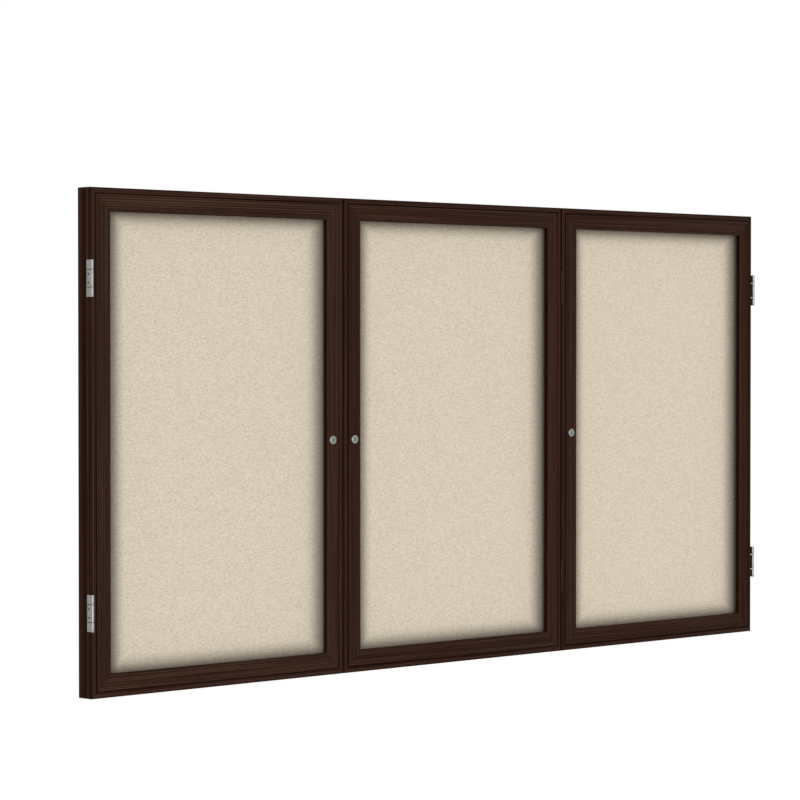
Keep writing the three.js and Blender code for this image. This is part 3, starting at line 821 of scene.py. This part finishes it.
def satin_metal(name, dark, light, roughness, recess=None):
    """Brushed metal. A recess of (axis, way in, face, depth) gets painted shade below that face."""
    material, shader = new_material(name)
    place = own_place(material)
    brushing = noise(material, place, (BRUSH_WIDTH, BRUSH_WIDTH, BRUSH_LENGTH), 2)
    colour = ramp(material, brushing, (NOISE_LOW, NOISE_HIGH), (dark, light))
    if recess is not None:
        axis, way_in, face, deepest = recess
        height = maths(material, "SUBTRACT", along(material, place, axis), face)
        depth = maths(material, "MULTIPLY", height, way_in)
        recess_shade = between(material, depth, RECESS_STARTS, deepest, RECESS_EASE)
        colour = multiplied(material, recess_shade, colour, RECESS_PAINTED_SHADE)
    smoothest, roughest = roughness - SMOOTHER, roughness + ROUGHER
    feed(material, shader, {
        "Base Color": colour,
        "Metallic": 1.0,
        "Roughness": ranged(material, brushing, NOISE_LOW, NOISE_HIGH, smoothest, roughest),
        "Normal": bumped(material, brushing, BRUSH_BUMP, BRUSH_RELIEF),
    })
    return material


NICKEL = (srgb(130, 129, 128), srgb(152, 151, 150), 0.45)
BRONZE = (srgb(38, 26, 20), srgb(52, 38, 30), 0.45)
LOCK_PLATE = (srgb(137, 135, 131), srgb(158, 156, 152), 0.42)
PLUG_METAL = (srgb(120, 128, 131), srgb(146, 154, 157), 0.42)
KEYWAY_DEPTH = 10 * MM

nickel = satin_metal("satin_nickel", *NICKEL)
bronze = satin_metal("dark_bronze", *BRONZE)
lock_plate = satin_metal("lock_plate", *LOCK_PLATE)
# The plug gets painted shade everywhere behind its front face, in the keyway too.
in_plug = (Y, 1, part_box("left_lock_plug")[0].y, KEYWAY_DEPTH)
plug_metal = satin_metal("lock_plug", *PLUG_METAL, recess=in_plug)
for name in hinge_parts:
    dress(parts[name], bronze if name.startswith("centre") else nickel)
for name in lock_parts:
    dress(parts[name], plug_metal if name.endswith("plug") else lock_plate)
print("metal on", len(hinge_parts), "hinge parts and", len(lock_parts), "lock parts")

# %% [markdown]
# ## Screws
#
# Countersunk screws hold the hinges and the strikes, and a pan head screw holds each cam on its
# plug. A screw is a profile turned round its own axis, from the head to the point, and two crossed
# wedges cut the driver's recess. The head's rim slopes, and it and the recess get painted shade,
# which draws each screw on its plate. One such mesh of each kind is enough: every screw is
# an object that shares it. None was driven home to the same angle as the next.

# %% Turn the screws
TURNING_STEPS = 24
SAME_POINT = 0.01 * MM
RECESS_REACH = 2.5 * MM
RECESS_WIDTH = 1.7 * MM
RECESS_DEPTH = 1.5 * MM
RECESS_FLOOR_SHARE = 0.45


def turned(name, profile):
    """Turns a profile of (radius, height) round z. The profile starts and ends on the axis."""
    mesh = bmesh.new()
    points = [mesh.verts.new((radius, 0, height)) for radius, height in profile]
    edges = [mesh.edges.new(pair) for pair in zip(points, points[1:])]
    turn = {"axis": (0, 0, 1), "cent": (0, 0, 0), "angle": math.tau, "steps": TURNING_STEPS}
    bmesh.ops.spin(mesh, geom=points + edges, **turn)
    bmesh.ops.remove_doubles(mesh, verts=mesh.verts, dist=SAME_POINT)
    bmesh.ops.recalc_face_normals(mesh, faces=mesh.faces)
    return finished_mesh(name, mesh)


def recess_wedge(turn, top):
    """One of the two crossed wedges that cut a driver's recess. Top is the height of the head's face."""
    mesh = bmesh.new()
    bmesh.ops.create_cube(mesh, size=1)
    for vert in mesh.verts:
        at_floor = vert.co.z < 0
        reach = 2 * RECESS_REACH * (RECESS_FLOOR_SHARE if at_floor else 1)
        height = top - RECESS_DEPTH if at_floor else top + RECESS_DEPTH
        vert.co = Vector((vert.co.x * reach, vert.co.y * RECESS_WIDTH, height))
    mesh.transform(Matrix.Rotation(turn, 4, "Z"))
    return linked("recess_wedge", finished_mesh("recess_wedge", mesh))


def recessed(name, profile):
    """The mesh of a turned screw with a cross cut into the face of its head."""
    blank = linked(name, turned(name, profile))
    wedges = [recess_wedge(turn, profile[0][1]) for turn in (0, math.pi / 2)]
    for wedge in wedges:
        cut = blank.modifiers.new("cut", "BOOLEAN")
        cut.operation = "DIFFERENCE"
        cut.solver = "EXACT"
        cut.object = wedge
    data = bpy.data.meshes.new_from_object(blank.evaluated_get(bpy.context.evaluated_depsgraph_get()))
    for spare in [blank, *wedges]:
        bpy.data.objects.remove(spare)
    data.name = name
    print(name, len(data.polygons), "faces")
    return data


print("screws are turned in", TURNING_STEPS, "steps")

# %% Shape the two kinds
HEAD_RADIUS = 3.2 * MM
HEAD_DEPTH = 1.7 * MM
HEAD_RIM = 0.45 * MM
SHANK_RADIUS = 1.4 * MM
SHANK_LENGTH = 9 * MM
POINT_LENGTH = 2.5 * MM
PAN_RADIUS = 3.4 * MM
PAN_HEIGHT = 1.7 * MM
PAN_SHANK_LENGTH = 4 * MM
DOME_TURNS = (0, 0.5, 0.9, 1.25, math.pi / 2)

head = [(0, 0), (HEAD_RADIUS - HEAD_RIM, 0), (HEAD_RADIUS, -HEAD_RIM)]
shank = [(SHANK_RADIUS, -HEAD_DEPTH), (SHANK_RADIUS, POINT_LENGTH - SHANK_LENGTH), (0, -SHANK_LENGTH)]
countersunk = recessed("countersunk_screw", head + shank)
dome = [(PAN_RADIUS * math.sin(turn), PAN_HEIGHT * math.cos(turn)) for turn in DOME_TURNS]
stub = [(SHANK_RADIUS, 0), (SHANK_RADIUS, -PAN_SHANK_LENGTH), (0, -PAN_SHANK_LENGTH)]
pan_head = recessed("pan_head_screw", dome + stub)

# %% Prepare to drive
DULL_STEEL = (srgb(74, 73, 71), srgb(98, 97, 94), 0.5)
RECESS_BOTTOM = 3 * MM
DRIVEN_TURN = math.radians(37)

# Painted shade on each screw's sloping rim and in its recess.
in_screw = (Z, -1, 0.0, RECESS_BOTTOM)
steel_screw = satin_metal("steel_screw", *DULL_STEEL, recess=in_screw)
bronze_screw = satin_metal("bronze_screw", *BRONZE, recess=in_screw)
driven = []


def drive(mesh, name, place, facing, material, slot, body):
    """Sets a screw with its head's face at a place, looking along facing."""
    screw = linked(name, mesh)
    aim = Vector(facing).to_track_quat("Z", "Y").to_matrix().to_4x4()
    own_turn = Matrix.Rotation(DRIVEN_TURN * len(driven), 4, "Z")
    screw.matrix_world = Matrix.Translation(Vector(place)) @ aim @ own_turn
    dress(screw, material)
    smooth(screw)
    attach(screw, body)
    driven.append(screw)


print("screws of", steel_screw.name, "and", bronze_screw.name)

# %% Mark out the hinge screws
SINK = 0.05 * MM
LEAF_THICKNESS = 1.4 * MM
LEAF_SCREW_RISE = 10.5 * MM
LEAF_SCREW_BACK = 4.75 * MM
FLANGE_SCREW_RISE = 30 * MM
FLANGE_SCREW_IN = 7.5 * MM


def drive_hinge_screws(door, level, side):
    """Two screws through the door leaf into the stile's edge, and three through the case leaf's flange."""
    finish = (bronze_screw, "bronzed_steel") if door == "centre" else (steel_screw, "satin_steel")
    stile_low, stile_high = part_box(f"{door}_door_hinge_stile")
    edge = stile_low.x if side < 0 else stile_high.x
    leaf_low, leaf_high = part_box(f"{door}_{level}_hinge_case_leaf")
    middle = (leaf_low.z + leaf_high.z) / 2
    leaf_x = edge + side * (LEAF_THICKNESS - SINK)
    leaf_y = stile_high.y - LEAF_SCREW_BACK
    for end, step in (("low", -1), ("high", 1)):
        place = (leaf_x, leaf_y, middle + step * LEAF_SCREW_RISE)
        drive(countersunk, f"{door}_{level}_leaf_screw_{end}", place, (side, 0, 0), *finish, f"{door}_door")
    flange_x = edge - side * FLANGE_SCREW_IN
    flange_y = leaf_high.y - LEAF_THICKNESS + SINK
    for number, step in enumerate((-1, 0, 1), start=1):
        place = (flange_x, flange_y, middle + step * FLANGE_SCREW_RISE)
        drive(countersunk, f"{door}_{level}_flange_screw_{number}", place, (0, -1, 0), *finish, "case")


print("flange screws", round(FLANGE_SCREW_RISE / MM), "mm apart")

# %% Drive the screws
STRIKE_SCREW_RISE = 7 * MM


def drive_lock_screws(door, side):
    """Two screws through the strike into the mullion's side, and one through the cam into the plug."""
    strike_low, strike_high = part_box(f"{door}_lock_strike")
    strike_x = (strike_high.x if side < 0 else strike_low.x) + side * (LEAF_THICKNESS - SINK)
    strike_y = (strike_low.y + LEAF_THICKNESS + strike_high.y) / 2
    middle = (strike_low.z + strike_high.z) / 2
    finish = (steel_screw, "zinc_lock")
    for end, step in (("low", -1), ("high", 1)):
        place = (strike_x, strike_y, middle + step * STRIKE_SCREW_RISE)
        drive(countersunk, f"{door}_strike_screw_{end}", place, (side, 0, 0), *finish, "case")
    plug_low, plug_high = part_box(f"{door}_lock_plug")
    tail = ((plug_low.x + plug_high.x) / 2, plug_high.y, (plug_low.z + plug_high.z) / 2)
    drive(pan_head, f"{door}_cam_screw", tail, (0, 1, 0), lock_plate, "zinc_lock", f"{door}_lock")


for door in DOOR_NAMES:
    hinge_side = -1 if door == "left" else 1
    for level in ("upper", "lower"):
        drive_hinge_screws(door, level, hinge_side)
    drive_lock_screws(door, hinge_side)
print(len(driven), "screws driven")
